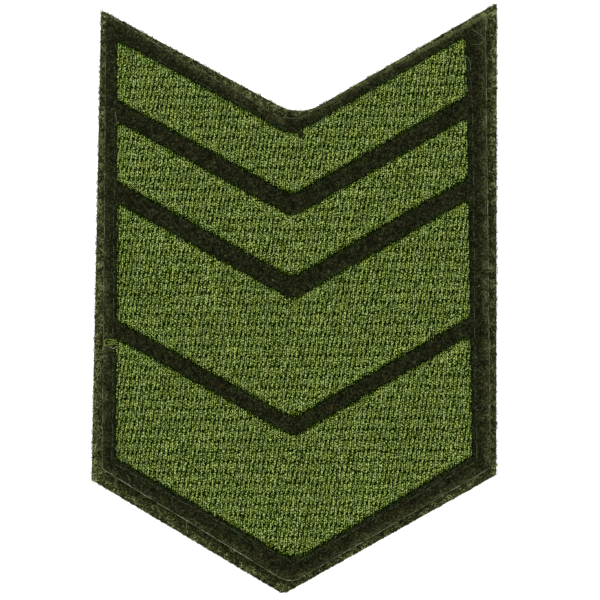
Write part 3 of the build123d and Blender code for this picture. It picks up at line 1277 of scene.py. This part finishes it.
# Painted shade: the yarn is painted darker the deeper it lies below the top of the pile.
yarn_depth_shade = depth_below(yarn_tree, yarn_place, loop_high.z, 0.9 * mm)
yarn_level = scaled(yarn_tree, yarn_tone, 0.65, scaled(yarn_tree, yarn_mottle, 0.5))
yarn_level = scaled(yarn_tree, yarn_patch, 1.3, sums(yarn_tree, "ADD", yarn_level, -0.48))
yarn_level = scaled(yarn_tree, yarn_depth_shade, -0.8, yarn_level)
yarn_stops = [(0.0, (18, 22, 4)), (0.4, (90, 98, 48)), (0.9, (214, 221, 150))]
coat(yarn_tree, yarn_shader, paint_ramp(yarn_tree, yarn_level, yarn_stops))
print("yarn finish:", len(yarn_tree.nodes), "nodes")

# %% The strands of the rim
def in_rim(points):
    """Which points carry pile that can be seen: outside the felt, or just under its edge."""
    inside = depth_inside(points, loop_outline) > 0.02 * mm
    return inside & (depth_inside(points, felt_outline) < 0.4 * mm)


# For each side, its extra painted light and its share of painted shade beside the felt.
rim_looks = {
    "top_left": (-0.01, 0.2),
    "top_right": (0.14, 0.2),
    "right": (0.12, 0.9),
    "bottom_right": (0.08, 0.9),
    "bottom_left": (-0.06, 0.9),
    "left": (0.1, 0.42),
}


def rim_tones(points):
    """Tones for strands of the rim: at random, but each side of the patch has its own extra
    painted light, and its own share of painted shade beside the felt."""
    sides = side_of(nearest_on(points, felt_outline)[0])
    light, shade = np.array([rim_looks[name] for name in sides]).T
    inner = np.clip(-depth_inside(points, felt_outline), 0, None)
    outer = np.clip(depth_inside(points, loop_outline), 0, None)
    lit = 1 - shade * outer / (inner + outer + 0.01 * mm)
    return light + rng.random(len(points)) * (0.45 + 0.5 * lit) + 0.28 * lit


def pressed_back(lines):
    """Lines with the points that stray past the cut of the loop cloth moved back to it. The cut
    is clean along the foot of the patch and fuzzier along its other sides."""
    flat = lines.reshape(-1, 3).copy()
    nearest, gap = nearest_on(flat[:, :2], loop_outline)
    at_foot = np.char.startswith(side_of(nearest), "bottom")
    reach = np.where(at_foot, 0.05, 0.15) * mm
    stray = -depth_inside(flat[:, :2], loop_outline) > reach
    share = (reach[stray] / gap[stray])[:, None]
    flat[stray, :2] = nearest[stray] + share * (flat[stray, :2] - nearest[stray])
    flat[:, 2] = np.clip(flat[:, 2], 0.1 * mm, loop_high.z - 0.02 * mm)
    return flat.reshape(lines.shape)


rim_area = area_of(loop_outline) - area_of(felt_outline)
print("rim in mm2:", round(rim_area / mm**2))

# %% Loop pile
pile_points = scatter(loop_outline, spacing=0.42 * mm, keep=in_rim)
pile_count = len(pile_points)
curl = np.radians(np.linspace(-55, 235, 7))
pile_way = rng.uniform(0, 2 * math.pi, pile_count)
pile_lean = np.radians(rng.uniform(10, 75, pile_count))
sine, cosine = np.sin(pile_way), np.cos(pile_way)
heading = np.stack([cosine, sine, np.zeros(pile_count)], axis=-1)
leaning = np.stack([-sine * np.sin(pile_lean), cosine * np.sin(pile_lean), np.cos(pile_lean)], axis=-1)
yarn_radius = 0.058 * mm
pile_radius = rng.uniform(0.15, 0.34, (pile_count, 1)) * mm
curl_side = pile_radius * np.cos(curl) * rng.uniform(0.8, 1.3, (pile_count, 1))
curl_rise = pile_radius * (np.sin(curl) + 0.7)
pile_foot = np.column_stack([pile_points, backing_height(pile_points) - 0.04 * mm])
pile_lines = pile_foot[:, None] + curl_side[..., None] * heading[:, None]
pile_lines = pile_lines + curl_rise[..., None] * leaning[:, None]
pile_lines = pile_lines + rng.normal(0, 0.03, pile_lines.shape) * mm
pile_piece = sweep("loop_pile", pressed_back(pile_lines), across=yarn_radius, up=yarn_radius,
                   section=ring(3), reference=np.cross(heading, leaning)[:, None],
                   finish=yarn_finish, tones=rim_tones(pile_points))

# %% Loose hairs
hair_points = scatter(loop_outline, spacing=0.37 * mm, keep=in_rim)
hair_count = len(hair_points)
hair_radius = 0.034 * mm
hair_share = np.linspace(0, 1, 4)
hair_way = rng.uniform(0, 2 * math.pi, (hair_count, 1))
hair_way = hair_way + rng.normal(0, 1.4, (hair_count, 1)) * hair_share
hair_reach = rng.uniform(0.3, 0.9, (hair_count, 1)) * mm * hair_share
hair_flat = hair_points[:, None] + flat_way(hair_way) * hair_reach[..., None]
hair_rise = rng.uniform(0.25, 0.8, (hair_count, 1)) * mm * np.sqrt(hair_share)
hair_lines = at_height(hair_flat, backing_height(hair_points)[:, None] + hair_rise)
hair_piece = sweep("loop_hairs", pressed_back(hair_lines), across=hair_radius, up=hair_radius,
                   section=ring(3), reference=upright, finish=yarn_finish, tones=rim_tones(hair_points))

# %% [markdown]
# Where the two halves hold each other, the hooks have caught loops and drawn them up. These fill
# the dark gap between the cloths, which shows only from low down at the side. Each is one tall
# arch from the backing to somewhere between the hooks, with a low tone as painted shade for the gap.

# %% Caught loops
def in_gap(points):
    """Which points lie between the two cloths, near enough to the edge to be seen."""
    depth = depth_inside(points, hook_outline)
    return (depth > 0.05 * mm) & (depth < hook_rows)


caught_points = scatter(hook_outline, spacing=0.8 * mm, keep=in_gap)
caught_count = len(caught_points)
caught_turn = np.linspace(0, math.pi, 7)
caught_way = rng.uniform(0, 2 * math.pi, caught_count)
caught_heading = flat_way(caught_way)
caught_reach = rng.uniform(0.15, 0.4, (caught_count, 1)) * mm * np.cos(caught_turn)
caught_flat = caught_points[:, None] + caught_reach[..., None] * caught_heading[:, None]
caught_flat = caught_flat + rng.normal(0, 0.04, caught_flat.shape) * mm
caught_foot = backing_height(caught_points)[:, None]
caught_top = hook_top - rng.uniform(0.15, 0.8, (caught_count, 1)) * mm
caught_height = caught_foot + (caught_top - caught_foot) * np.sin(caught_turn) ** 0.6
# Painted shade: the caught loops get low tones, as they stand in the dark gap.
caught_shade_tones = 0.1 + 0.4 * rng.random(caught_count)
caught_radius = 0.045 * mm
caught_piece = sweep("caught_loops", at_height(caught_flat, caught_height), across=caught_radius,
                     up=caught_radius, section=ring(3), reference=square_to(caught_heading)[:, None],
                     finish=yarn_finish, tones=caught_shade_tones)

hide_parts("loop_panel")
for piece in (backing, pile_piece, hair_piece, caught_piece):
    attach(piece, "root")

# %% [markdown]
# ## Loose ends
# A real patch is never quite clean. A tail of green thread loops out at the left, stray threads
# curl over the felt at the right, stitches of a darker green show at the lower left corner and
# beside the notch, and bits of lint lie about. They were read off the photograph as pixels, and
# `photo_point` sends a ray from the camera through a pixel to find the place on the patch.

# %% From a pixel to its place on the patch
def photo_point(column, row, height):
    """The place at a height over the floor that the camera sees at a pixel."""
    focal = camera_lens / sensor_width * image_size
    ray = Vector(((column - image_size / 2) / focal, (image_size / 2 - row) / focal, -1.0))
    ray.rotate(camera_turn)
    return camera_place + ray * ((height - camera_place.z) / ray.z)


def carried_height(points):
    """The height of what a loose thread lies on: the green, the felt, or the pile of the rim."""
    near_green = np.clip(depth_in_green(points) + 0.3 * mm, 0, None)
    on_green = 1 - fade(near_green, reach=0.35 * mm, power=1.4)
    on_felt = np.clip(depth_inside(points, felt_outline) / (0.2 * mm) + 0.5, 0, 1)
    lower = on_felt * felt_height(points) + (1 - on_felt) * (loop_high.z - 0.1 * mm)
    return lower + on_green * (stripe_top - lower)


def laid_line(pixels, lift, count=24):
    """A smooth line that lies on the patch where the camera sees a few pixels."""
    heights = np.full(len(pixels), felt_top)
    for _ in range(3):
        places = np.array([photo_point(*pixel, height) for pixel, height in zip(pixels, heights)])
        heights = carried_height(places[:, :2])
    line = resample(places, count)
    for _ in range(3):
        line[1:-1] = (line[:-2] + 2 * line[1:-1] + line[2:]) / 4
    line[:, 2] = carried_height(line[:, :2]) + lift
    return line


def thread_piece(name, lift, plan, finish):
    """Threads of one kind, from a plan with a row for each: its half width in millimetres, and
    the pixels that it passes, as column and row of the photograph."""
    lines = np.array([laid_line(pixels, lift) for _, pixels in plan])
    width = np.array([[half] for half, _ in plan]) * mm
    piece = sweep(name, lines, across=width, up=0.85 * width, section=ring(6), reference=upright,
                  finish=finish, tones=np.ones(len(plan)))
    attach(piece, "root")


pixel_size = (photo_point(301, 300, felt_top) - photo_point(300, 300, felt_top)).length
print("one pixel on the felt in mm:", round(pixel_size / mm, 4))

# %% Threads read off the photograph
tail_plan = [
    (0.17, [(117.0, 340.8), (113.0, 340.2), (109.4, 339.4), (106.8, 338.6), (104.8, 340.4), (104.4, 343.4),
            (105.6, 345.4), (108.4, 345.2), (112.0, 344.4), (117.0, 343.6)]),
    (0.16, [(118.0, 342.6), (114.4, 342.4), (111.0, 342.0), (108.4, 341.2), (107.4, 342.2), (109.2, 343.4),
            (112.4, 343.2), (118.0, 344.8)]),
]
tail_thread = thread_finish(
    "tail_thread",
    colours=[(20, 34, 2), (44, 60, 10), (74, 94, 22), (106, 126, 46), (150, 166, 90)],
    ply_length=0.8,
    roughness=0.5,
    relief=0.04 * mm,
)
thread_piece("thread_tail", 0.14 * mm, tail_plan, tail_thread)

stray_thread = thread_finish(
    "stray_thread",
    colours=[(20, 32, 16), (42, 56, 34), (66, 82, 54), (90, 108, 78), (124, 142, 108)],
    ply_length=0.9,
    roughness=0.6,
    relief=0.03 * mm,
)
stray_plan = [
    (0.085, [(471.8, 29.2), (478, 33.2), (482.4, 35.6), (483.8, 40.0), (481.4, 44.2), (474, 44.8)]),
    (0.085, [(465.6, 55.0), (468.4, 58.4), (470.3, 63.8), (470.6, 71.0)]),
    (0.085, [(115.6, 113.0), (116.4, 119.0), (116.2, 126.0)]),
    (0.05, [(489.8, 208.0), (491.2, 214.0), (491.8, 224.0), (493.0, 236.0)]),
]
thread_piece("stray_threads", 0.06 * mm, stray_plan, stray_thread)

# The first four are stitches at the lower left corner, and the last lies beside the notch.
edge_plan = [
    (0.15, [(115.4, 447.6), (117.0, 450.0), (117.8, 452.4)]),
    (0.15, [(116.8, 447.4), (118.4, 449.8), (119.0, 452.0)]),
    (0.13, [(123.4, 459.2), (125.4, 461.4), (127.6, 463.4)]),
    (0.13, [(124.6, 458.6), (126.6, 460.8), (128.4, 462.6)]),
    (0.13, [(305.0, 132.2), (311.0, 127.6), (318.0, 122.4), (325.5, 117.2)]),
]
edge_thread = thread_finish(
    "edge_thread",
    colours=[(8, 24, 8), (26, 48, 20), (48, 74, 36), (74, 104, 54), (110, 140, 88)],
    ply_length=0.9,
    roughness=0.6,
    relief=0.03 * mm,
)
thread_piece("edge_threads", 0.06 * mm, edge_plan, edge_thread)

# %% Lint read off the photograph
lint_finish, lint_tree, lint_shader = new_finish("lint", roughness=0.8, specular=0.1)
lint_grain = noise_at(lint_tree, object_place(lint_tree), scale=2600.0)
lint_stops = [(0.3, (88, 98, 66)), (0.7, (166, 178, 134))]
coat(lint_tree, lint_shader, paint_ramp(lint_tree, lint_grain, lint_stops))
lint_plan = [
    (0.1, [(104.6, 340.4), (104.1, 342.6), (104.4, 344.8), (105.6, 346.2)]),
    (0.09, [(110.4, 346.2), (111.4, 347.8), (113.2, 348.7), (115.0, 347.8), (116.6, 346.4)]),
    (0.05, [(116.6, 453.4), (117.2, 455.2), (118.2, 457.2)]),
    (0.05, [(465.0, 62.5), (465.6, 66.5), (466.0, 70.5)]),
    (0.05, [(465.8, 79.5), (466.5, 84.5), (466.8, 88.0)]),
    (0.07, [(466.6, 87.4), (467.0, 89.2), (467.4, 91.6)]),
]
lint_specks = [
    (273.0, 280.2), (196.0, 524.0), (115.0, 476.6), (479.0, 286.0), (483.0, 418.0),
    (488.0, 439.0), (118.0, 123.0), (388.8, 319.0), (101.0, 401.0), (118.0, 491.0),
]
for column, row in lint_specks:
    step = 1.1 * flat_way(rng.uniform(0, math.pi))
    lint_plan.append((0.05, [(column, row) - step, (column, row), (column, row) + step]))
thread_piece("lint", 0.1 * mm, lint_plan, lint_finish)

# %% [markdown]
# Here and there the felt has shed a little tuft of its own fibre: a grey nub caught at the notch,
# a pale one on the upper right corner, a crumb on the right edge. A tuft is a pinch of short bent
# fibres scattered round one point, made by the same function as the nap.

# %% Tufts of felt fibre read off the photograph
# Column and row, spread across and up in millimetres, the number of fibres, and their tone.
tuft_plan = [
    (301.4, 134.0, 0.4, 0.55, 110, 0.42),
    (484.2, 15.4, 0.5, 0.22, 170, 1.3),
    (485.8, 22.0, 0.16, 1.0, 110, 0.95),
    (496.4, 465.0, 0.12, 0.2, 16, 1.15),
]
tuft_radius = 0.03 * mm
tuft_lines, tuft_tones = [], []
for column, row, across, up, count, tone in tuft_plan:
    middle = laid_line([(column, row), (column + 0.1, row)], 0.0)[0, :2]
    points = middle + rng.normal(0, 0.5, (count, 2)) * np.array([across, up]) * mm
    lines = fibres(points, length=(0.3, 0.8), bend=1.3, lift=(0.02, 0.25), ground=carried_height)
    tuft_lines.append(lines)
    tuft_tones.append(tone + rng.normal(0, 0.1, count))
tuft_piece = sweep("felt_tufts", np.concatenate(tuft_lines), across=tuft_radius, up=tuft_radius,
                   section=ring(3), reference=upright, finish=nap_finish,
                   tones=np.concatenate(tuft_tones))
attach(tuft_piece, "root")

# %% [markdown]
# ## The triangle count
# The triangles of all the shown pieces are counted.

# %% Triangle count
total = sum(triangles(piece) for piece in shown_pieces() if piece.type == "MESH")
print("triangles in all:", total)
